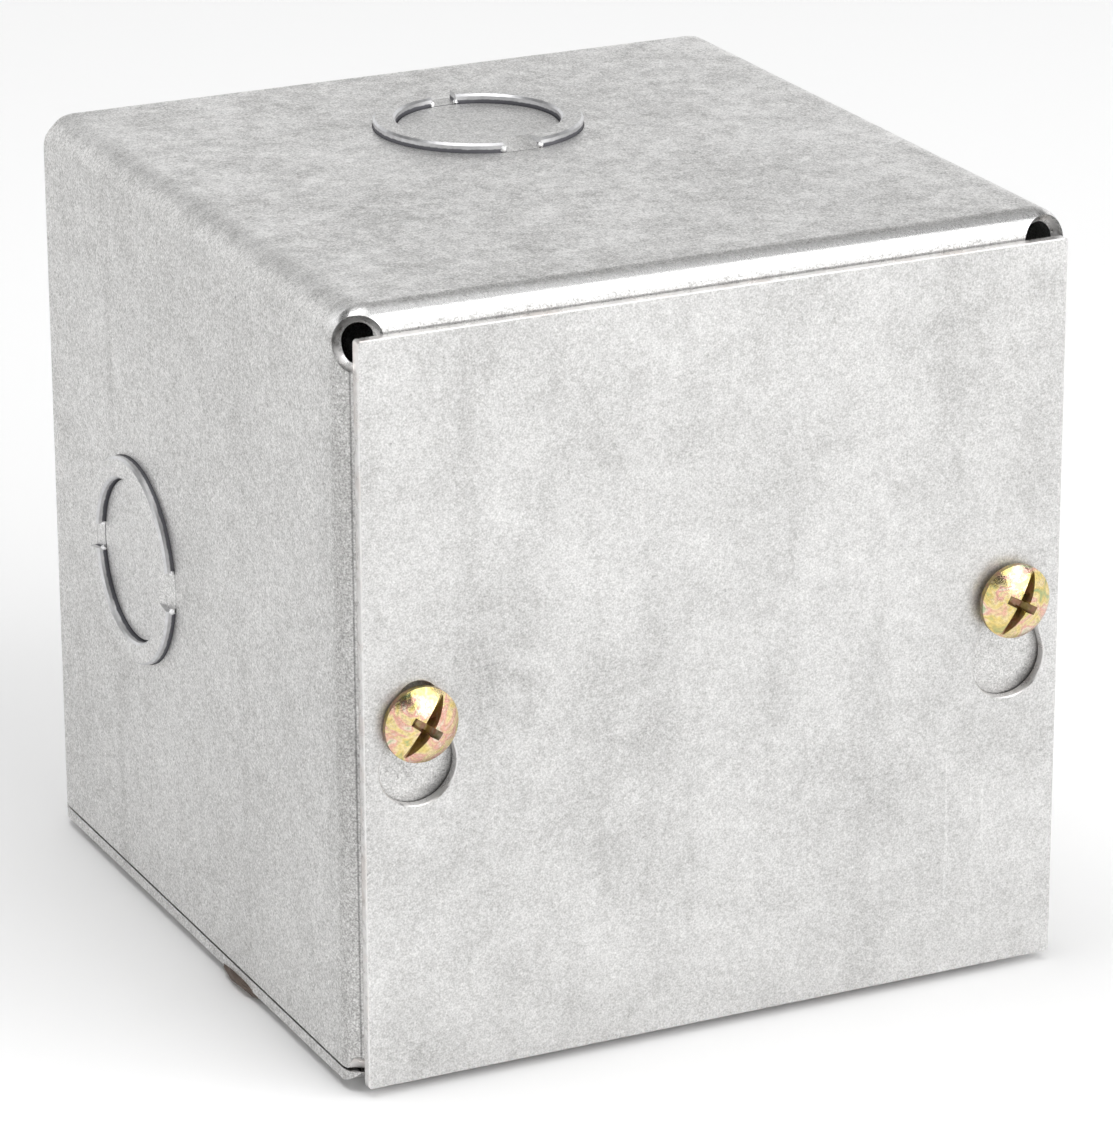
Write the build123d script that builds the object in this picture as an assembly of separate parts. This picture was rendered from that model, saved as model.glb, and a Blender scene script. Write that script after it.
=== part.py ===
from build123d import *
import math
import os

# Screw-cover junction box, 4 x 4 x 4 in, galvanized sheet steel.
#
# Frame: millimetres, +Z up, +Y towards the wall that the box is fixed to, +X to the right of
# somebody who faces the cover.  The origin is the centre of the back panel's rear face, so the
# box lies on the -Y side of its mounting plane and the cover is furthest out.
#
# The pieces: a wall wrapper folded from one strip (left, top, right and bottom walls, with lips
# at the front and back, closed by a tacked seam at the bottom left), a back panel welded to the
# outside of the wrapper's rear lips, a flat cover with two keyhole slots, two combination-drive
# pan head screws, and a concentric knockout in each wall: a disc inside a ring that stands proud.

# ---------------------------------------------------------------- driving dimensions
INCH = 25.4
SIZE = 4.0 * INCH  # outer width, height and depth of the folded walls
SHEET = 1.5  # 16 gauge galvanized sheet
WRAP_BEND = 4.5  # outer radius of the wrapper's long bends
FRONT_BEND = 3.3  # outer radius where a wall turns into its front lip
REAR_BEND = 2.5  # outer radius where a wall turns into its rear lip
SEAM_GAP = 0.35  # between the left wall's lower edge and the bottom wall that it stands on
SIDE_LIP = 16.0  # front lips of the left and right walls, from the outer face
TOP_LIP = 9.5  # front lips of the top and bottom walls
REAR_LIP = 12.5  # all four rear lips
MITRE_GAP = 0.8  # slit between neighbouring lips

RELIEF_R = 4.0  # round relief where two front bends cross
RELIEF_IN = {-1: 1.9, 1: 3.2}  # its centre from the left and right outer faces
RELIEF_OUT = 0.9  # its centre in front of the lips
RELIEF_DOWN = 3.9  # its centre from the top or bottom face
REAR_RELIEF_R = 2.2
REAR_RELIEF_IN = 1.5
NOTCH_R = 3.0  # open notch at the foot of the left wall's front bend

COVER_SIZE = 98.4  # square cover, 3-7/8 in; the back panel is cut to the same size
COVER_TOP_DROP = 3.2  # cover's upper edge below the top of the box
COVER_GAP = 0.1  # air between the lips and the cover
COVER_CORNER = 0.5
BACK_CORNER = 5.0
EDGE_BREAK = 0.15  # sheared edges, eased

SCREW_INSET = 7.3  # screw axis from the cover's side edge
SCREW_BELOW = {"left": 50.0, "right": 47.4}  # screw axes below the cover's upper edge
KEYHOLE_WIDE_R = 5.25  # lets the screw head through
KEYHOLE_NARROW_R = 2.9  # holds the cover under the head
KEYHOLE_BELOW = 47.6  # narrow end's centre below the cover's upper edge
KEYHOLE_DROP = 8.25  # wide end's centre below the narrow end's

SCREW_R = 2.4  # No. 10 thread, outside
THREAD_PITCH = INCH / 32
THREAD_DEPTH = 0.45
SCREW_LENGTH = 12.7
TAPPED_R = 2.46  # running room round the modelled thread
TAPPED_COLLAR_R = 3.9
TAPPED_COLLAR = 1.8  # extruded collar behind the sheet
HEAD_R = 4.95
HEAD_RIM = 0.9
HEAD_HIGH = 2.9
SLOT_WIDE = 1.6  # at the top of the dome
SLOT_FLOOR = 0.35
SLOT_DEEP = 1.65
CROSS_SPAN = 5.4
CROSS_DEEP = 2.2
HEAD_STANDOFF = {"left": 0.35, "right": 0.75}  # the screws are a little backed off
HEAD_TURN = {"left": 55.0, "right": 61.0}  # slot's angle from horizontal, degrees

KNOCKOUT_FROM_BACK = 1.25 * INCH
KNOCKOUT_SIDE_DROP = 2.9  # side wall knockouts below mid height
KNOCKOUT_HOLE_R = 14.2  # 3/4 in trade size opening
KNOCKOUT_SPLIT_R = 11.1  # 1/2 in trade size opening
SHEAR_GAP = 0.1
RING_RAISE = 1.25  # ring's outer face above the wall
RING_BREAK = 0.3  # its rims, rounded by the punch
FRONT_TIE = 22.0  # each tie's share of the ring, degrees
REAR_TIE = 18.0

MOUNT_SPACING = 2.5 * INCH
MOUNT_HOLE_R = 3.57
GROUND_HOLE_AT = (0.6 * INCH, -0.6 * INCH)  # X, Z of the tapped grounding hole
GROUND_HOLE_R = 2.05

# ---------------------------------------------------------------- worked out from those
HALF = SIZE / 2
WRAP_BACK = -SHEET  # the back panel lies behind the wrapper
WRAP_FRONT = WRAP_BACK - SIZE
COVER_BACK_Y = WRAP_FRONT - COVER_GAP
COVER_FRONT_Y = COVER_BACK_Y - SHEET
COVER_MID_Z = HALF - COVER_TOP_DROP - COVER_SIZE / 2
SCREW_X = COVER_SIZE / 2 - SCREW_INSET
KNOCKOUT_Y = WRAP_BACK - KNOCKOUT_FROM_BACK

# Each wall: outward direction, and the knockout's centre on the outer face.
WALLS = {
    "top": (Vector(0, 0, 1), Vector(0, KNOCKOUT_Y, HALF)),
    "bottom": (Vector(0, 0, -1), Vector(0, KNOCKOUT_Y, -HALF)),
    "left": (Vector(-1, 0, 0), Vector(-HALF, KNOCKOUT_Y, -KNOCKOUT_SIDE_DROP)),
    "right": (Vector(1, 0, 0), Vector(HALF, KNOCKOUT_Y, -KNOCKOUT_SIDE_DROP)),
}


def block(x0, x1, y0, y1, z0, z1):
    """A box from its low and high corners."""
    centre = Pos((x0 + x1) / 2, (y0 + y1) / 2, (z0 + z1) / 2)
    return centre * Box(x1 - x0, y1 - y0, z1 - z0)


def eased(plate):
    """A plate cut from sheet, with the sharpness taken off the rims of its two faces."""
    faces = plate.faces().sort_by(SortBy.AREA)[-2:]
    return chamfer([e for face in faces for e in face.edges()], EDGE_BREAK)


def wall_plane(name):
    """Plane on a wall's outer face at its knockout, local Z outwards and local X to the front."""
    outward, centre = WALLS[name]
    return Plane(origin=centre, x_dir=(0, -1, 0), z_dir=outward)


def screw_place(side):
    """X and Z of a cover screw's axis."""
    return (SCREW_X if side == "right" else -SCREW_X), HALF - COVER_TOP_DROP - SCREW_BELOW[side]


# ---------------------------------------------------------------- wall wrapper
def folded_body(inset, long_bend, front_bend, rear_bend):
    """Solid envelope of the folded strip, taken in by inset, with its bends rounded."""
    half = HALF - inset
    y0, y1 = WRAP_FRONT + inset, WRAP_BACK - inset
    body = block(-half, half, y0, y1, -half, half)
    seam = Vector(-half, 0, -half)
    long_edges = [
        e
        for e in body.edges().filter_by(Axis.Y)
        if (Vector(e.center().X, 0, e.center().Z) - seam).length > half
    ]
    body = fillet(long_edges, long_bend)
    for y, radius in ((y0, front_bend), (y1, rear_bend)):
        rim = [e for e in body.edges() if abs(e.center().Y - y) < 1e-3]
        body = fillet(rim, radius)
    return body


def lip_mitres(y_face, side_lip, top_lip):
    """Slits between neighbouring lips, from each corner relief to the corner of the window."""
    slits = []
    for sx in (-1, 1):
        for sz in (-1, 1):
            start = (sx * (HALF - 2.5), sz * (HALF - 2.5))
            knee_in = min(side_lip, top_lip) + MITRE_GAP / 2
            knee = (sx * (HALF - knee_in), sz * (HALF - knee_in))
            end = (sx * (HALF - side_lip - 1), sz * (HALF - top_lip - MITRE_GAP / 2))
            path = Polyline(start, knee) if side_lip == top_lip else Polyline(start, knee, end)
            flat = trace(path, line_width=MITRE_GAP)
            slits.append(Plane.XZ * extrude(flat, amount=2 * SIZE, both=True))
    keep = block(-SIZE, SIZE, y_face - SHEET - 0.01, y_face + SHEET + 0.01, -SIZE, SIZE)
    return [slit & keep for slit in slits]


def collar(x, y, z, direction):
    """Extruded collar round a tapped hole; direction is +1 towards the wall, -1 away from it."""
    base = Plane(origin=(x, y, z), z_dir=(0, direction, 0))
    return extrude(base * Circle(TAPPED_COLLAR_R), amount=TAPPED_COLLAR)


def bore_y(x, z, radius, y0, y1):
    """Cylinder along Y between two depths."""
    base = Plane(origin=(x, y0, z), z_dir=(0, 1, 0))
    return extrude(base * Circle(radius), amount=y1 - y0)


def wall_wrapper():
    outer = folded_body(0, WRAP_BEND, FRONT_BEND, REAR_BEND)
    inner = folded_body(
        SHEET, WRAP_BEND - SHEET, FRONT_BEND - SHEET, REAR_BEND - SHEET
    )
    shell = outer - inner
    # windows between the lips
    fx, fz = HALF - SIDE_LIP, HALF - TOP_LIP
    shell -= block(-fx, fx, WRAP_FRONT - 1, WRAP_FRONT + 2 * SHEET, -fz, fz)
    rear = HALF - REAR_LIP
    shell -= block(-rear, rear, WRAP_BACK - 2 * SHEET, WRAP_BACK + 1, -rear, rear)
    # reliefs where bends cross, at all corners but the two on the seam
    for sx, sz in ((-1, 1), (1, 1), (1, -1)):
        front = Pos(sx * (HALF - RELIEF_IN[sx]), WRAP_FRONT - RELIEF_OUT, sz * (HALF - RELIEF_DOWN))
        shell -= front * Sphere(RELIEF_R)
        rear_at = HALF - REAR_RELIEF_IN
        shell -= Pos(sx * rear_at, WRAP_BACK, sz * rear_at) * Sphere(REAR_RELIEF_R)
    for slit in lip_mitres(WRAP_FRONT, SIDE_LIP, TOP_LIP):
        shell -= slit
    for slit in lip_mitres(WRAP_BACK, REAR_LIP, REAR_LIP):
        shell -= slit
    # seam: the left wall stops just above the bottom wall, with a notch at its front corner
    floor_top = -HALF + SHEET
    reach = SIDE_LIP + 1
    shell -= block(
        -HALF - 1, -HALF + reach, WRAP_FRONT - 1, WRAP_FRONT + 2 * SHEET, floor_top, floor_top + SEAM_GAP
    )
    shell -= block(
        -HALF - 1, -HALF + SHEET + 0.01, WRAP_FRONT - 1, WRAP_BACK + 1, floor_top, floor_top + SEAM_GAP
    )
    shell -= block(
        -HALF - 1, -HALF + reach, WRAP_BACK - 2 * SHEET, WRAP_BACK + 1, floor_top, floor_top + SEAM_GAP
    )
    notch = Pos(-HALF, WRAP_FRONT - RELIEF_OUT, floor_top) * Sphere(NOTCH_R)
    shell -= notch & block(-SIZE, SIZE, -2 * SIZE, 0, floor_top, SIZE)
    # tapped holes for the cover screws
    for side in ("left", "right"):
        x, z = screw_place(side)
        shell += collar(x, WRAP_FRONT + SHEET, z, 1)
        y1 = WRAP_FRONT + SHEET + TAPPED_COLLAR + 1
        shell -= bore_y(x, z, TAPPED_R, WRAP_FRONT - 1, y1)
    # knockout openings
    for name in WALLS:
        shell -= extrude(wall_plane(name) * Circle(KNOCKOUT_HOLE_R), amount=5, both=True)
    return shell


# ---------------------------------------------------------------- back panel
def back_panel():
    outline = RectangleRounded(COVER_SIZE, COVER_SIZE, BACK_CORNER)
    at = Plane(origin=(0, 0, 0), x_dir=(-1, 0, 0), z_dir=(0, 1, 0))
    panel = eased(extrude(at * outline, amount=-SHEET))
    half = MOUNT_SPACING / 2
    for x in (-half, half):
        for z in (-half, half):
            panel -= bore_y(x, z, MOUNT_HOLE_R, -SHEET - 1, 1)
    gx, gz = GROUND_HOLE_AT
    panel += collar(gx, -SHEET, gz, -1)
    panel -= bore_y(gx, gz, GROUND_HOLE_R, -SHEET - TAPPED_COLLAR - 1, 1)
    return panel


# ---------------------------------------------------------------- cover
def keyhole():
    """Teardrop outline about its narrow end's centre, with the wide end below."""
    wide = Pos(0, -KEYHOLE_DROP) * Circle(KEYHOLE_WIDE_R)
    narrow = Circle(KEYHOLE_NARROW_R)
    lean = math.asin((KEYHOLE_WIDE_R - KEYHOLE_NARROW_R) / KEYHOLE_DROP)
    cos, sin = math.cos(lean), math.sin(lean)
    sides = Polygon(
        (-KEYHOLE_NARROW_R * cos, KEYHOLE_NARROW_R * sin),
        (KEYHOLE_NARROW_R * cos, KEYHOLE_NARROW_R * sin),
        (KEYHOLE_WIDE_R * cos, KEYHOLE_WIDE_R * sin - KEYHOLE_DROP),
        (-KEYHOLE_WIDE_R * cos, KEYHOLE_WIDE_R * sin - KEYHOLE_DROP),
        align=None,
    )
    return wide + narrow + sides


def cover():
    at = Plane(origin=(0, COVER_BACK_Y, COVER_MID_Z), x_dir=(1, 0, 0), z_dir=(0, -1, 0))
    outline = RectangleRounded(COVER_SIZE, COVER_SIZE, COVER_CORNER)
    for side in (-1, 1):
        outline -= Pos(side * SCREW_X, COVER_SIZE / 2 - KEYHOLE_BELOW) * keyhole()
    return eased(extrude(at * outline, amount=SHEET))


# ---------------------------------------------------------------- cover screws
def threaded_shank():
    """Shank along -Z from the head's underside, with the thread as a stack of vees."""
    root = SCREW_R - THREAD_DEPTH
    turns = int((SCREW_LENGTH - 2 * THREAD_PITCH) / THREAD_PITCH)
    points = [(0, 0), (SCREW_R, 0)]
    z = -THREAD_PITCH / 2
    for _ in range(turns):
        points += [(SCREW_R, z), (root, z - THREAD_PITCH / 2)]
        z -= THREAD_PITCH
    points += [(root, z), (root * 0.75, -SCREW_LENGTH), (0, -SCREW_LENGTH)]
    return revolve(Plane.XZ * Polygon(*points, align=None), Axis.Z)


def head():
    """Domed pan head on Z = 0, with a slot and a cross recess."""
    dome_r = (HEAD_R**2 + (HEAD_HIGH - HEAD_RIM) ** 2) / (2 * (HEAD_HIGH - HEAD_RIM))
    dome = Pos(0, 0, HEAD_HIGH - dome_r) * Sphere(dome_r)
    body = Pos(0, 0, HEAD_HIGH / 2) * Cylinder(HEAD_R, HEAD_HIGH)
    body = body & dome
    body = chamfer([e for e in body.edges() if abs(e.center().Z) < 1e-3], 0.15)
    floor = HEAD_HIGH - SLOT_DEEP
    profile = Polygon(
        (-SLOT_FLOOR / 2, floor), (SLOT_FLOOR / 2, floor),
        (SLOT_WIDE / 2, HEAD_HIGH), (-SLOT_WIDE / 2, HEAD_HIGH),
        align=None,
    )
    slot = extrude(Plane.YZ * profile, amount=2 * HEAD_R, both=True)
    return body - slot - cross_recess()


def cross_recess():
    """Four wings that narrow and close towards the bottom."""
    top, bottom = HEAD_HIGH + 0.2, HEAD_HIGH - CROSS_DEEP
    wings = None
    for turn in (0, 90):
        upper = Plane.XY.offset(top) * Rot(0, 0, turn) * Rectangle(CROSS_SPAN, 1.25)
        lower = Plane.XY.offset(bottom) * Rot(0, 0, turn) * Rectangle(CROSS_SPAN * 0.3, 0.7)
        wing = loft([upper, lower])
        wings = wing if wings is None else wings + wing
    return wings


def cover_screw(side):
    x, z = screw_place(side)
    under_head = COVER_FRONT_Y - HEAD_STANDOFF[side]
    at = Plane(origin=(x, under_head, z), x_dir=(1, 0, 0), z_dir=(0, -1, 0))
    screw = head() + threaded_shank()
    return at * (Rot(0, 0, HEAD_TURN[side]) * screw)


# ---------------------------------------------------------------- knockouts
def swept_sector(profile, start, sweep):
    """Part ring from an (r, z) outline, from start degrees, counted from the tie at the front."""
    face = Plane.XZ * Polygon(*profile, align=None)
    return Rot(0, 0, start) * revolve(face, Axis.Z, revolution_arc=sweep)


def knockout_ring(name):
    """Ring that stands proud of the wall, held by a ramped tie in front and a flat one behind."""
    r0, r1 = KNOCKOUT_SPLIT_R, KNOCKOUT_HOLE_R - SHEAR_GAP
    low, high = RING_RAISE - SHEET, RING_RAISE
    c = RING_BREAK
    raised = [(r0, low), (r1, low), (r1, high - c), (r1 - c, high), (r0 + c, high), (r0, high - c)]
    ramp = [(r0, low), (r1, -SHEET), (r1, 0), (r0 + c, high), (r0, high - c)]
    flat = [(r0, -SHEET), (r1, -SHEET), (r1, 0), (r0, 0)]
    front, rear = FRONT_TIE / 2, REAR_TIE / 2
    ring = swept_sector(raised, front, 180 - front - rear)
    ring += swept_sector(raised, 180 + rear, 180 - front - rear)
    ring += swept_sector(ramp, -front, FRONT_TIE)
    ring += swept_sector(flat, 180 - rear, REAR_TIE)
    return wall_plane(name) * ring


def knockout_disc(name):
    """Disc flush with the wall, inside the ring."""
    disc = Circle(KNOCKOUT_SPLIT_R - SHEAR_GAP)
    return eased(extrude(wall_plane(name) * disc, amount=-SHEET))


# ---------------------------------------------------------------- write the pieces
def pieces():
    made = {
        "wall_wrapper": wall_wrapper(),
        "back_panel": back_panel(),
        "cover": cover(),
    }
    for side in ("left", "right"):
        made[f"cover_screw_{side}"] = cover_screw(side)
    for name in WALLS:
        made[f"knockout_ring_{name}"] = knockout_ring(name)
        made[f"knockout_disc_{name}"] = knockout_disc(name)
    return made


os.makedirs("parts", exist_ok=True)
for node, shape in pieces().items():
    export_step(shape, f"parts/{node}.step")
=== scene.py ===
import math

import bmesh
import bpy
from mathutils import Matrix, Vector, noise


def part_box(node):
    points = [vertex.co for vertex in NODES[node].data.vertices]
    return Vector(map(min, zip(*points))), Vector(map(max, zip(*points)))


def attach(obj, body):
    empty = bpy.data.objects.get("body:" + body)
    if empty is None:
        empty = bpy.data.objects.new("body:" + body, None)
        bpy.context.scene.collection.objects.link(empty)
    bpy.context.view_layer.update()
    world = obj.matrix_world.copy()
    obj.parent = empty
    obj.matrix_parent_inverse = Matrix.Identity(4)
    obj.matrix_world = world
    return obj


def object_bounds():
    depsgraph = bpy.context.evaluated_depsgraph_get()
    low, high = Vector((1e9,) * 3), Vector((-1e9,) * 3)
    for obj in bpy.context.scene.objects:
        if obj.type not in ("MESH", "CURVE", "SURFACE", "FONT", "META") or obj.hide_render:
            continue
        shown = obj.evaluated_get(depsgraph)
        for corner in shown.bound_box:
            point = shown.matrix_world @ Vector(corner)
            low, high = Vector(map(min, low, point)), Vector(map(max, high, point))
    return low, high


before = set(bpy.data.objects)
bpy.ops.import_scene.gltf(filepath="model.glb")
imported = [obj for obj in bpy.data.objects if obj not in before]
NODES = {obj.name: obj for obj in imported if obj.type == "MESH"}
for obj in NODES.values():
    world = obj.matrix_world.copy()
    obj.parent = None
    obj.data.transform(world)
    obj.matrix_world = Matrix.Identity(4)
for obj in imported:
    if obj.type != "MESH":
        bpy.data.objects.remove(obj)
CAD_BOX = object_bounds()

# ---------------------------------------------------------------- driving values, in metres
MM = 0.001
SHEET = 1.5 * MM
WRAP_BEND, FRONT_BEND, REAR_BEND = 4.5 * MM, 3.3 * MM, 2.5 * MM
SEAM_CORNER = 0.4 * MM  # the wrapper's corner along the seam is nearly sharp
HEAD_R, HEAD_RIM, HEAD_HIGH = 4.95 * MM, 0.9 * MM, 2.9 * MM
SLOT_BELOW = 55.85 * MM  # centre of a slot's wide end below the cover's upper edge

WRAP_LOW, WRAP_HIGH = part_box("wall_wrapper")
COVER_LOW, COVER_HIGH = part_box("cover")
COVER_MID = (COVER_LOW + COVER_HIGH) / 2
FRONT = Vector((0, -1, 0))
WALLS = {  # which way each wall with a knockout faces
    "top": Vector((0, 0, 1)),
    "bottom": Vector((0, 0, -1)),
    "left": Vector((-1, 0, 0)),
    "right": Vector((1, 0, 0)),
}

# Height of the torn zone of a knockout's side above the wall, painted dark as shade, and how unevenly
# it ends.
TORN_SHADE_FROM, TORN_SHADE_TO, TORN_SHADE_UNEVEN = 0.40 * MM, 0.58 * MM, 0.35 * MM

# The dark lump under the seam: its middle behind the wrapper's front, half length, half width,
# height.
LUMP_BACK, LUMP_HALF_LONG, LUMP_HALF_WIDE, LUMP_HIGH = 37 * MM, 6.4 * MM, 1.5 * MM, 1.35 * MM
LUMP_INSET, LUMP_RISE = 0.9 * MM, 0.1 * MM  # its middle from the wrapper's left and lower faces

# A burr's angle from the front tie in degrees, then its radius, height on the wall and size in mm.
BURRS = (
    (-11, 14.05, 0.45, 0.42),
    (11, 14.05, 0.35, 0.34),
    (171, 11.2, 0.25, 0.34),
    (189, 11.2, 0.30, 0.38),
)

# A smudge's x and z from the cover's centre, half width and half height in mm, and its depth.
SMUDGES = (
    (-30, 3, 11, 9, 0.10),
    (-14, -4, 9, 12, 0.09),
    (-2, 30, 24, 5, 0.07),
    (34, 36, 13, 9, 0.11),
    (44, 10, 6, 22, 0.11),
    (24, 22, 12, 16, 0.06),
    (-18, 38, 16, 9, 0.06),
    (8, -22, 26, 12, 0.05),
    (-44, -46, 7, 4.5, 0.20),
    (46, 44, 4, 5, 0.12),
    (38, -12, 9, 16, 0.06),
    (12, 27, 13, 3, 0.07),
)

# Yellow chromate's drift through green, gold, pink and cream: position and colour.
CHROMATE = (
    (0.30, (0.40, 0.48, 0.24, 1)),
    (0.41, (0.84, 0.66, 0.24, 1)),
    (0.49, (0.88, 0.74, 0.42, 1)),
    (0.57, (0.82, 0.42, 0.36, 1)),
    (0.64, (0.90, 0.74, 0.60, 1)),
    (0.74, (0.46, 0.56, 0.34, 1)),
)

CAMERA_AT = Vector((-0.3037, -0.6908, 0.2504))
CAMERA_AZIMUTH = math.radians(25.6)
CAMERA_ELEVATION = math.radians(19.88)
CAMERA_ROLL = math.radians(-0.23)
CAMERA_LENS = 179.3

LAMPS = (  # name, place, width and height, watts
    ("front_right", (0.60, -1.05, 0.85), (1.3, 1.45), 14),
    ("overhead", (-0.25, 0.1, 1.6), (0.9, 0.9), 8.5),
    ("left", (-1.5, 0.3, 0.7), (0.9, 0.9), 1.5),
)
SKY = ((0.0, 1.0), (0.42, 1.0), (0.54, 0.05), (0.85, 0.04), (0.94, 1.0))  # height, brightness
SKY_STRENGTH = 1.12
FLOOR_HALF, FLOOR_GREY = 4.0, 0.97


# ---------------------------------------------------------------- node trees
class Shader:
    """A material under construction, with short names for the nodes used below."""

    def __init__(self, name):
        self.material = bpy.data.materials.new(name)
        self.material.use_nodes = True
        self.tree = self.material.node_tree
        self.bsdf = self.tree.nodes["Principled BSDF"]
        self.place = self.node("ShaderNodeTexCoord").outputs["Object"]

    def node(self, kind, **settings):
        made = self.tree.nodes.new(kind)
        for key, value in settings.items():
            setattr(made, key, value)
        return made

    def feed(self, socket, value):
        if isinstance(value, bpy.types.NodeSocket):
            self.tree.links.new(value, socket)
        else:
            socket.default_value = value

    def parts(self, vector):
        split = self.node("ShaderNodeSeparateXYZ")
        self.feed(split.inputs[0], vector)
        return split.outputs

    def normal(self):
        return self.parts(self.node("ShaderNodeTexCoord").outputs["Normal"])

    def mapped(self, scale, offset, turn=(0, 0, 0)):
        """Object coordinates, turned, scaled and moved."""
        mapping = self.node("ShaderNodeMapping")
        self.feed(mapping.inputs["Vector"], self.place)
        mapping.inputs["Scale"].default_value = scale
        mapping.inputs["Location"].default_value = offset
        mapping.inputs["Rotation"].default_value = turn
        return mapping.outputs["Vector"]

    def noise(self, scale, detail=3.0, rough=0.55, offset=(0, 0, 0), warp=0.0, turn=(0, 0, 0)):
        """Noise with scale cycles per millimetre, one number or one for each axis."""
        made = self.node("ShaderNodeTexNoise")
        scale = scale if isinstance(scale, tuple) else (scale,) * 3
        self.feed(made.inputs["Vector"], self.mapped([s / MM for s in scale], offset, turn))
        made.inputs["Scale"].default_value = 1.0
        made.inputs["Detail"].default_value = detail
        made.inputs["Roughness"].default_value = rough
        made.inputs["Distortion"].default_value = warp
        return made.outputs["Fac"]

    def span(self, value, low, high, out_low=0.0, out_high=1.0, smooth=True):
        """value, mapped from low..high to out_low..out_high."""
        made = self.node("ShaderNodeMapRange")
        made.interpolation_type = "SMOOTHSTEP" if smooth else "LINEAR"
        self.feed(made.inputs["Value"], value)
        ends = (("From Min", low), ("From Max", high), ("To Min", out_low), ("To Max", out_high))
        for socket, number in ends:
            made.inputs[socket].default_value = number
        return made.outputs["Result"]

    def math(self, operation, a, b=0.0):
        made = self.node("ShaderNodeMath", operation=operation)
        self.feed(made.inputs[0], a)
        self.feed(made.inputs[1], b)
        return made.outputs[0]

    def times(self, a, b):
        return self.math("MULTIPLY", a, b)

    def plus(self, a, b):
        return self.math("ADD", a, b)

    def minus(self, a, b):
        return self.math("SUBTRACT", a, b)

    def total(self, *terms):
        """Sum of (value, weight) pairs, where each value is centred on a half first."""
        result = 0.0
        for value, weight in terms:
            result = self.plus(result, self.times(self.minus(value, 0.5), weight))
        return result

    def mix(self, amount, a, b):
        made = self.node("ShaderNodeMix", data_type="RGBA")
        self.feed(made.inputs["Factor"], amount)
        self.feed(made.inputs[6], a)
        self.feed(made.inputs[7], b)
        return made.outputs[2]

    def patch(self, centre, radii, edge=0.6):
        """1 inside an ellipsoid about a point, fading to 0 at its rim."""
        scale = [1 / r for r in radii]
        length = self.node("ShaderNodeVectorMath", operation="LENGTH")
        offset = [-c * s for c, s in zip(centre, scale)]
        self.feed(length.inputs[0], self.mapped(scale, offset))
        return self.span(length.outputs["Value"], 1 - edge, 1.0, 1.0, 0.0)

    def band(self, axis, middle, half, soft):
        """1 within half of middle along an axis, fading to 0 over soft."""
        away = self.math("ABSOLUTE", self.minus(self.parts(self.place)[axis], middle))
        return self.span(away, half, half + soft, 1.0, 0.0)

    def bends(self):
        """1 on rounded corners, 0 on flats that face along an axis."""
        x, y, z = [self.math("ABSOLUTE", part) for part in self.normal()]
        largest = self.math("MAXIMUM", self.math("MAXIMUM", x, y), z)
        return self.span(largest, 0.80, 0.985, 1.0, 0.0)

    def near_front(self):
        """1 over the bends that turn into the front lips, 0 from there back."""
        start, end = WRAP_LOW.y + FRONT_BEND, WRAP_LOW.y + 1.8 * FRONT_BEND
        return self.span(self.parts(self.place)[1], start, end, 1.0, 0.0)

    def bump(self, height, strength, distance):
        made = self.node("ShaderNodeBump")
        made.inputs["Strength"].default_value = strength
        made.inputs["Distance"].default_value = distance
        self.feed(made.inputs["Height"], height)
        return made.outputs["Normal"]


def fill_ramp(ramp, stops):
    """Gives a colour ramp its (position, colour) stops."""
    elements = ramp.color_ramp.elements
    elements.remove(elements[1])
    elements[0].position, elements[0].color = stops[0]
    for position, colour in stops[1:]:
        elements.new(position).color = colour


def grey(value, warmth=0.0):
    return (value * (1 + warmth), value, value * (1 - 1.6 * warmth), 1.0)


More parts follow.
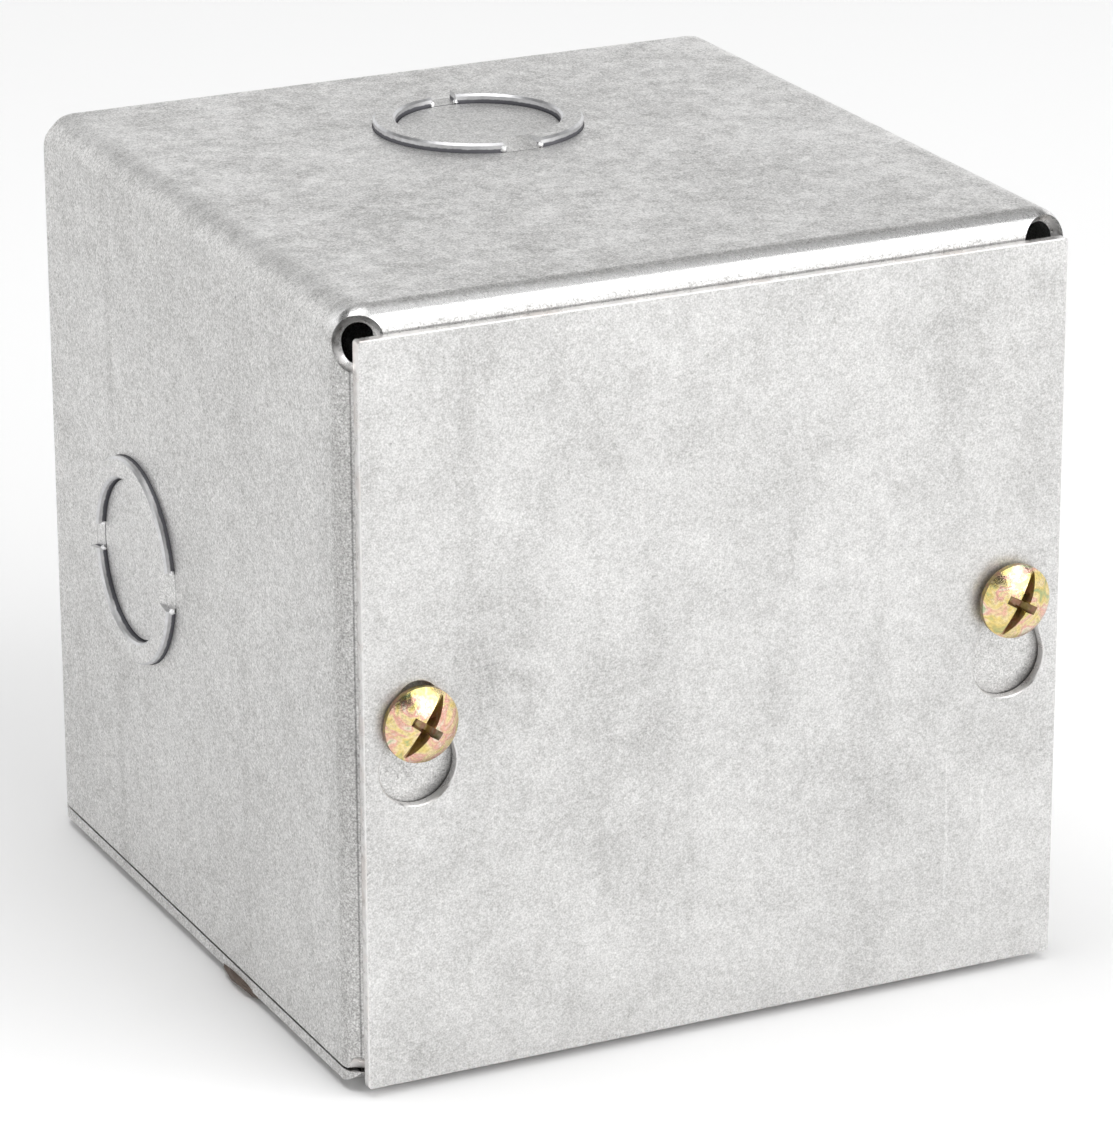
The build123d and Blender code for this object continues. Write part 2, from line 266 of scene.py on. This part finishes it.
# ---------------------------------------------------------------- materials
def galvanized(name, base, warmth, grain, cloud, rough=0.44, pitting=1.0,
               marks_and_shade=None, painted_shade=None, top_mottle_and_light=False):
    """Zinc coated sheet: grain, soft clouds, dark pits, and a smoother bend into the front lips,
    painted lighter on its upward faces as a painted highlight.

    marks_and_shade darkens the sheet with marks and painted shade, painted_shade lays
    painted shade over it, and top_mottle_and_light mottles the faces that look up and
    paints them lighter as painted light."""
    s = Shader(name)
    fine = s.noise(4.2, 1.0, 0.6, (7, 3, 1))
    small = s.noise(1.8, 2.0, 0.6, (3, 8, 2))
    medium = s.noise(0.5, 2.0, 0.55, (1, 5, 9))
    patchy = s.noise(0.13, 3.0, 0.6, (4, 0, 6), 0.5)
    wide = s.noise(0.035, 3.0, 0.6, (2, 2, 0))
    shade = s.total((fine, 1.35 * grain), (small, 0.68 * grain), (medium, 0.24 * grain),
                    (patchy, 0.26 * cloud), (wide, 0.30 * cloud))
    if top_mottle_and_light:
        # Mottling on faces that look up, raised overall as painted light that makes the top lighter.
        mottle = s.total((s.noise(0.36, 3.0, 0.6, (8, 2, 3)), 0.70), (patchy, 0.30))
        upward = s.span(s.normal()[2], 0.4, 0.9)
        shade = s.plus(shade, s.times(s.plus(mottle, 0.13), upward))
    if marks_and_shade:
        # Marks darken the tone; on the walls they also carry painted shade.
        shade = s.minus(shade, marks_and_shade(s))

    pits = s.span(s.noise(1.1, 3.0, 0.7, (11, 5, 9)), 0.62, 0.76)
    sparse = s.span(s.noise(0.10, 2.0, 0.5, (5, 15, 3)), 0.40, 0.62)
    dark = s.times(pits, s.plus(sparse, 0.45))
    # Front bends that look up: smoother and flatter, and painted lighter as a painted highlight.
    bend_gloss_and_highlight = s.times(s.times(s.bends(), s.near_front()), s.span(s.normal()[2], 0.02, 0.25))

    low, high = grey(base * 0.55, warmth), grey(min(base * 1.45, 0.98), warmth * 0.5)
    colour = s.mix(s.span(shade, -0.45, 0.45, 0, 1, False), low, high)
    colour = s.mix(s.times(dark, 0.5 * pitting), colour, grey(base * 0.40, warmth))
    # Painted highlight on those upward front bends.
    colour = s.mix(s.times(bend_gloss_and_highlight, 0.6), colour, grey(0.86))
    # Painted shade: near-black laid over the lips along the cover's edges and slot rims.
    if painted_shade:
        colour = s.mix(painted_shade(s), colour, grey(0.05))
    s.feed(s.bsdf.inputs["Base Color"], colour)
    s.bsdf.inputs["Metallic"].default_value = 0.9

    dull = s.span(shade, -0.4, 0.4, rough + 0.09, rough - 0.09, False)
    s.feed(s.bsdf.inputs["Roughness"], s.minus(dull, s.times(bend_gloss_and_highlight, 0.20)))
    relief = s.total((fine, 0.35), (small, 0.6), (medium, 0.5))
    relief = s.minus(relief, s.times(pits, 0.25 * pitting))
    relief = s.times(relief, s.minus(1.0, s.times(bend_gloss_and_highlight, 0.75)))
    s.feed(s.bsdf.inputs["Normal"], s.bump(relief, 0.8 * grain, 0.00012))
    return s.material


def wall_marks_and_shade(s):
    """Soft rub lines that run round the folded strip, and painted shade: a dark band just behind the
    front bends and a darker zone over the front bends, off the lips.
    """
    front = WRAP_LOW.y
    total = s.times(s.band(1, front + 77.5 * MM, 0.5 * MM, 1.8 * MM), 0.07)
    total = s.plus(total, s.times(s.band(1, front + 33 * MM, 0.4 * MM, 1.6 * MM), 0.035))
    # Painted shade: a dark band just behind the front bends.
    total = s.plus(total, s.times(s.band(1, front + 4.5 * MM, 0.8 * MM, 2.2 * MM), 0.05))
    # Painted shade: a darker zone over the front bends, kept off the lips.
    bend = s.times(s.band(1, front, 2.2 * MM, 1.6 * MM), 0.20)
    off_lips = s.span(s.math("ABSOLUTE", s.normal()[1]), 0.75, 0.97, 1.0, 0.0)
    return s.plus(total, s.times(bend, off_lips))


def lip_painted_shade(s):
    """Painted shade on the lips: a thin dark line along the cover's left and upper edges, and
    crescents along the lower right rims of its slots.
    """
    beside = s.band(0, COVER_LOW.x - 0.1 * MM, 0.02 * MM, 0.16 * MM)
    above = s.band(2, COVER_HIGH.z + 0.1 * MM, 0.06 * MM, 0.15 * MM)
    total = s.times(s.math("MAXIMUM", beside, above), s.band(1, WRAP_LOW.y, 0.6 * MM, 0.3 * MM))
    total = s.times(total, 0.7)
    for side in ("left", "right"):
        low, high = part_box("cover_screw_" + side)
        at = Vector(((low.x + high.x) / 2, WRAP_LOW.y, COVER_HIGH.z - SLOT_BELOW))
        whole = s.patch(at, (8 * MM, 4 * MM, 8 * MM), 0.2)
        unshaded = s.patch(at + Vector((-1.1, 0, 1.1)) * MM, (7.2 * MM, 40 * MM, 7.2 * MM), 0.35)
        total = s.plus(total, s.times(whole, s.minus(1.0, unshaded)))
    return s.times(total, 0.75)


def cover_marks(s):
    """Vertical handling streaks, smudges, and thin scratches at the lower right."""
    streak = s.noise((0.16, 0.16, 0.018), 3.0, 0.6, (9, 1, 4))
    total = s.times(s.span(streak, 0.50, 0.74), 0.08)
    break_up = s.span(s.noise(0.28, 4.0, 0.65, (6, 3, 8)), 0.34, 0.66)
    for x, z, half_wide, half_high, depth in SMUDGES:
        centre = COVER_MID + Vector((x, 0, z)) * MM
        spot = s.patch(centre, (half_wide * MM, 10 * MM, half_high * MM), 0.8)
        total = s.plus(total, s.times(s.times(spot, break_up), depth))
    scratch = s.noise((1.4, 1.4, 0.03), 2.0, 0.5, (2, 7, 5), 0.4, (0, 0.25, 0))
    where = s.patch(COVER_MID + Vector((38, 0, -26)) * MM, (11 * MM, 10 * MM, 26 * MM), 0.7)
    thin = s.times(s.span(scratch, 0.62, 0.68), where)
    return s.minus(total, s.times(thin, 0.10))


def cut_edge(name):
    """Sheared steel at the sheet's edge: brighter and smoother, with a breath of brown."""
    s = Shader(name)
    lines = s.noise(0.9, 3.0, 0.6)
    stain = s.span(s.noise(0.22, 2.0, 0.5, (3, 1, 4)), 0.5, 0.7)
    colour = s.mix(lines, (0.62, 0.61, 0.60, 1), (0.96, 0.95, 0.94, 1))
    colour = s.mix(s.times(stain, 0.35), colour, (0.62, 0.53, 0.48, 1))
    s.feed(s.bsdf.inputs["Base Color"], colour)
    s.bsdf.inputs["Metallic"].default_value = 1.0
    s.feed(s.bsdf.inputs["Roughness"], s.span(lines, 0.3, 0.7, 0.24, 0.42))
    s.feed(s.bsdf.inputs["Normal"], s.bump(lines, 0.25, 0.00008))
    return s.material


def punched_edge(name):
    """A knockout's sheared side: burnished where the punch rolled it, torn at its foot and painted
    dark there as shade.
    """
    s = Shader(name)
    x, _, z = [s.math("ABSOLUTE", part) for part in s.parts(s.place)]
    height = s.minus(s.math("MAXIMUM", x, z), WRAP_HIGH.z)
    uneven = s.times(s.minus(s.noise(0.8, 3.0, 0.6, (5, 2, 8)), 0.5), TORN_SHADE_UNEVEN)
    torn = s.span(s.plus(height, uneven), TORN_SHADE_FROM, TORN_SHADE_TO, 1.0, 0.0)
    lines = s.noise(1.1, 3.0, 0.6)
    burnished = s.mix(lines, (0.46, 0.46, 0.47, 1), (0.78, 0.78, 0.79, 1))
    # The torn foot of the side is painted near-black as painted shade, where the side meets the wall.
    s.feed(s.bsdf.inputs["Base Color"], s.mix(torn, burnished, (0.15, 0.15, 0.165, 1)))
    s.bsdf.inputs["Metallic"].default_value = 0.9
    s.feed(s.bsdf.inputs["Roughness"], s.span(torn, 0.0, 1.0, 0.34, 0.6))
    s.feed(s.bsdf.inputs["Normal"], s.bump(lines, 0.3, 0.0001))
    return s.material


def bare_metal(name):
    """Clean torn zinc and steel, nearly a mirror."""
    s = Shader(name)
    s.bsdf.inputs["Base Color"].default_value = (0.95, 0.95, 0.95, 1)
    s.bsdf.inputs["Metallic"].default_value = 0.9
    s.bsdf.inputs["Roughness"].default_value = 0.3
    return s.material


def chromate(name, dull):
    """Yellow chromate over zinc: gold that drifts to pink and green, with a hard gloss; dull roughens
    it and darkens its colour as painted shade.
    """
    s = Shader(name)
    ramp = s.node("ShaderNodeValToRGB")
    fill_ramp(ramp, CHROMATE)
    s.feed(ramp.inputs["Fac"], s.noise(0.30, 2.0, 0.55, (2, 6, 1), 1.4))
    grain = s.noise(2.8, 3.0, 0.6)
    speckle = s.span(grain, 0.35, 0.75, 0.0, 0.5)
    colour = s.mix(speckle, ramp.outputs["Color"], (0.42, 0.30, 0.14, 1))
    # Painted shade: dull pulls the colour toward near-black.
    s.feed(s.bsdf.inputs["Base Color"], s.mix(dull, colour, (0.12, 0.07, 0.02, 1)))
    s.bsdf.inputs["Metallic"].default_value = 1.0
    rough = s.span(grain, 0.3, 0.7, 0.13 + dull * 0.3, 0.26 + dull * 0.3)
    s.feed(s.bsdf.inputs["Roughness"], rough)
    s.feed(s.bsdf.inputs["Normal"], s.bump(grain, 0.4, 0.0001))
    return s.material


def dark_lump_material(name):
    """Dark brown, rough metal."""
    s = Shader(name)
    rough = s.noise(1.2, 4.0, 0.65)
    colour = s.mix(rough, (0.05, 0.035, 0.028, 1), (0.22, 0.17, 0.14, 1))
    s.feed(s.bsdf.inputs["Base Color"], colour)
    s.bsdf.inputs["Metallic"].default_value = 0.7
    s.feed(s.bsdf.inputs["Roughness"], s.span(rough, 0.3, 0.7, 0.45, 0.7))
    s.feed(s.bsdf.inputs["Normal"], s.bump(rough, 0.6, 0.0002))
    return s.material


# ---------------------------------------------------------------- looks of the CAD pieces
def paint(node, material, other, is_other):
    """Gives a CAD node its material, and another to the faces that is_other(centre, normal) picks."""
    mesh = NODES[node].data
    mesh.materials.clear()
    mesh.materials.append(material)
    mesh.materials.append(other)
    for face in mesh.polygons:
        face.material_index = int(is_other(face.center, face.normal))


def rounded(a, b, radius):
    """Depth under a skin whose two flats are a and b away, joined by a bend of that radius."""
    if a < radius and b < radius:
        return radius - math.hypot(radius - a, radius - b)
    return min(a, b)


def wrapper_cut(centre, normal):
    """True on the sheet's sheared faces, which lie between its outer and inner skins."""
    side = min(centre.x - WRAP_LOW.x, WRAP_HIGH.x - centre.x)
    rise = min(centre.z - WRAP_LOW.z, WRAP_HIGH.z - centre.z)
    at_seam = centre.x < 0 and centre.z < 0
    depth = rounded(side, rise, SEAM_CORNER if at_seam else WRAP_BEND)
    front = rounded(depth, centre.y - WRAP_LOW.y, FRONT_BEND)
    under = min(front, rounded(depth, WRAP_HIGH.y - centre.y, REAR_BEND))
    return 0.2 * SHEET < under < 0.8 * SHEET


def plate_cut(centre, normal):
    """True on the edges and hole walls of an upright plate."""
    return abs(normal.y) < 0.9


def knockout_side(out):
    """True on the sides and chamfers of a knockout in the wall that faces out."""
    return lambda centre, normal: abs(normal.dot(out)) < 0.8


def screw_shaded_faces(node):
    """True on the faces painted in shade: a screw's drive recess, under the dome of its head, and the
    head's rim.
    """
    low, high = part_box(node)
    axis_x, axis_z = (low.x + high.x) / 2, (low.z + high.z) / 2
    rise = HEAD_HIGH - HEAD_RIM
    dome_r = (HEAD_R**2 + rise**2) / (2 * rise)

    def inside(centre, normal):
        r = math.hypot(centre.x - axis_x, centre.z - axis_z)
        if r > 0.97 * HEAD_R:
            return abs(normal.y) < 0.3
        if centre.y > low.y + HEAD_HIGH - 0.1 * MM:
            return False
        dome_top = low.y + dome_r - math.sqrt(dome_r**2 - r**2)
        return centre.y - dome_top > 0.06 * MM

    return inside


wall_steel = galvanized("galvanized_wall", 0.62, 0.014, 1.0, 0.8,
                        marks_and_shade=wall_marks_and_shade, painted_shade=lip_painted_shade, top_mottle_and_light=True)
back_steel = galvanized("galvanized_back", 0.64, 0.014, 0.9, 0.9)
cover_steel = galvanized("galvanized_cover", 0.615, 0.012, 0.66, 1.2,
                         rough=0.46, pitting=0.8, marks_and_shade=cover_marks)
knock_steel = galvanized("galvanized_knockout", 0.645, 0.012, 0.9, 0.6)
edge_steel = cut_edge("sheared_edge")
knock_edge = punched_edge("punched_edge")
gold = chromate("yellow_zinc", 0.0)
# Painted shade for the screws' recesses, the hidden faces under their domes and their rims.
gold_shaded = chromate("yellow_zinc_shaded", 0.6)

paint("wall_wrapper", wall_steel, edge_steel, wrapper_cut)
paint("back_panel", back_steel, edge_steel, plate_cut)
paint("cover", cover_steel, edge_steel, plate_cut)
for screw in ("cover_screw_left", "cover_screw_right"):
    paint(screw, gold, gold_shaded, screw_shaded_faces(screw))
for wall, out in WALLS.items():
    for part in ("ring", "disc"):
        paint(f"knockout_{part}_{wall}", knock_steel, knock_edge, knockout_side(out))


# ---------------------------------------------------------------- pieces that only show
def placed(name, build, material, body):
    """Turns a bmesh into a smooth object that rides on a body."""
    mesh = bpy.data.meshes.new(name)
    build.to_mesh(mesh)
    build.free()
    made = bpy.data.objects.new(name, mesh)
    bpy.context.scene.collection.objects.link(made)
    mesh.materials.append(material)
    for face in mesh.polygons:
        face.use_smooth = True
    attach(made, body)


def seam_lump():
    """A dark brown lump under the bottom left seam, longer than it is wide."""
    middle = Vector((WRAP_LOW.x + LUMP_INSET, WRAP_LOW.y + LUMP_BACK, WRAP_LOW.z + LUMP_RISE))
    build = bmesh.new()
    for vert in bmesh.ops.create_icosphere(build, subdivisions=5, radius=1.0)["verts"]:
        p = vert.co.copy()
        p *= 1 + 0.16 * noise.noise(p * 2.1 + Vector((3, 1, 0))) + 0.05 * noise.noise(p * 7)
        high = LUMP_HIGH * (1 if p.z < 0 else 0.4)
        vert.co = middle + Vector((p.x * LUMP_HALF_WIDE, p.y * LUMP_HALF_LONG, p.z * high))
    placed("seam_lump", build, dark_lump_material("dark_lump"), "box")


def tie_burrs(wall, out, material):
    """Beads of torn metal at a ring's tie ends: outside the front tie, inside the rear one."""
    low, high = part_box(f"knockout_ring_{wall}")
    centre, aside = (low + high) / 2, out.cross(FRONT)
    centre += out * (WRAP_HIGH.z - centre.dot(out))
    build = bmesh.new()
    for turn, r, rise, size in BURRS:
        away = FRONT * math.cos(math.radians(turn)) + aside * math.sin(math.radians(turn))
        at = centre + (away * r + out * rise) * MM
        for vert in bmesh.ops.create_icosphere(build, subdivisions=3, radius=1.0)["verts"]:
            p = vert.co.copy()
            vert.co = at + p * (1 + 0.45 * noise.noise(p * 1.7 + at / MM)) * size * MM
    placed(f"tie_burrs_{wall}", build, material, f"ring_{wall}")


seam_lump()
burr_metal = bare_metal("burr_metal")
for wall, out in WALLS.items():
    tie_burrs(wall, out, burr_metal)


# ---------------------------------------------------------------- floor, light and camera
def floor():
    low, half = CAD_BOX[0].z, FLOOR_HALF
    corners = [(-half, -half, low), (half, -half, low), (half, half, low), (-half, half, low)]
    mesh = bpy.data.meshes.new("floor")
    mesh.from_pydata(corners, [], [(0, 1, 2, 3)])
    made = bpy.data.objects.new("floor", mesh)
    bpy.context.scene.collection.objects.link(made)
    s = Shader("floor")
    s.bsdf.inputs["Base Color"].default_value = grey(FLOOR_GREY)
    s.bsdf.inputs["Roughness"].default_value = 0.9
    mesh.materials.append(s.material)


def studio():
    """White surroundings with a dark zone between the backdrop and the lamps overhead."""
    made = bpy.data.worlds.new("studio")
    made.use_nodes = True
    tree = made.node_tree
    place = tree.nodes.new("ShaderNodeTexCoord")
    split = tree.nodes.new("ShaderNodeSeparateXYZ")
    ramp = tree.nodes.new("ShaderNodeValToRGB")
    fill_ramp(ramp, [(height, grey(value)) for height, value in SKY])
    tree.links.new(place.outputs["Generated"], split.inputs[0])
    tree.links.new(split.outputs["Z"], ramp.inputs["Fac"])
    background = tree.nodes["Background"]
    tree.links.new(ramp.outputs["Color"], background.inputs["Color"])
    background.inputs["Strength"].default_value = SKY_STRENGTH
    bpy.context.scene.world = made


def soft_light(name, place, size, power):
    """A rectangular lamp that faces the object."""
    data = bpy.data.lights.new(name, "AREA")
    data.shape = "RECTANGLE"
    data.size, data.size_y = size
    data.energy = power
    made = bpy.data.objects.new(name, data)
    made.location = place
    made.rotation_mode = "QUATERNION"
    made.rotation_quaternion = (-Vector(place)).to_track_quat("-Z", "Y")
    bpy.context.scene.collection.objects.link(made)


def camera():
    sin_a, cos_a = math.sin(CAMERA_AZIMUTH), math.cos(CAMERA_AZIMUTH)
    sin_e, cos_e = math.sin(CAMERA_ELEVATION), math.cos(CAMERA_ELEVATION)
    forward = Vector((sin_a * cos_e, cos_a * cos_e, -sin_e))
    level = Vector((cos_a, -sin_a, 0))
    upright = level.cross(forward)
    right = level * math.cos(CAMERA_ROLL) + upright * math.sin(CAMERA_ROLL)
    data = bpy.data.cameras.new("camera")
    data.lens = CAMERA_LENS
    data.sensor_width = 36
    data.clip_start, data.clip_end = 0.01, 20
    made = bpy.data.objects.new("camera", data)
    axes = Matrix((right, right.cross(forward), -forward)).transposed().to_4x4()
    made.matrix_world = Matrix.Translation(CAMERA_AT) @ axes
    bpy.context.scene.collection.objects.link(made)
    bpy.context.scene.camera = made


floor()
studio()
for lamp in LAMPS:
    soft_light(*lamp)
camera()

bpy.context.scene.view_settings.view_transform = "Standard"
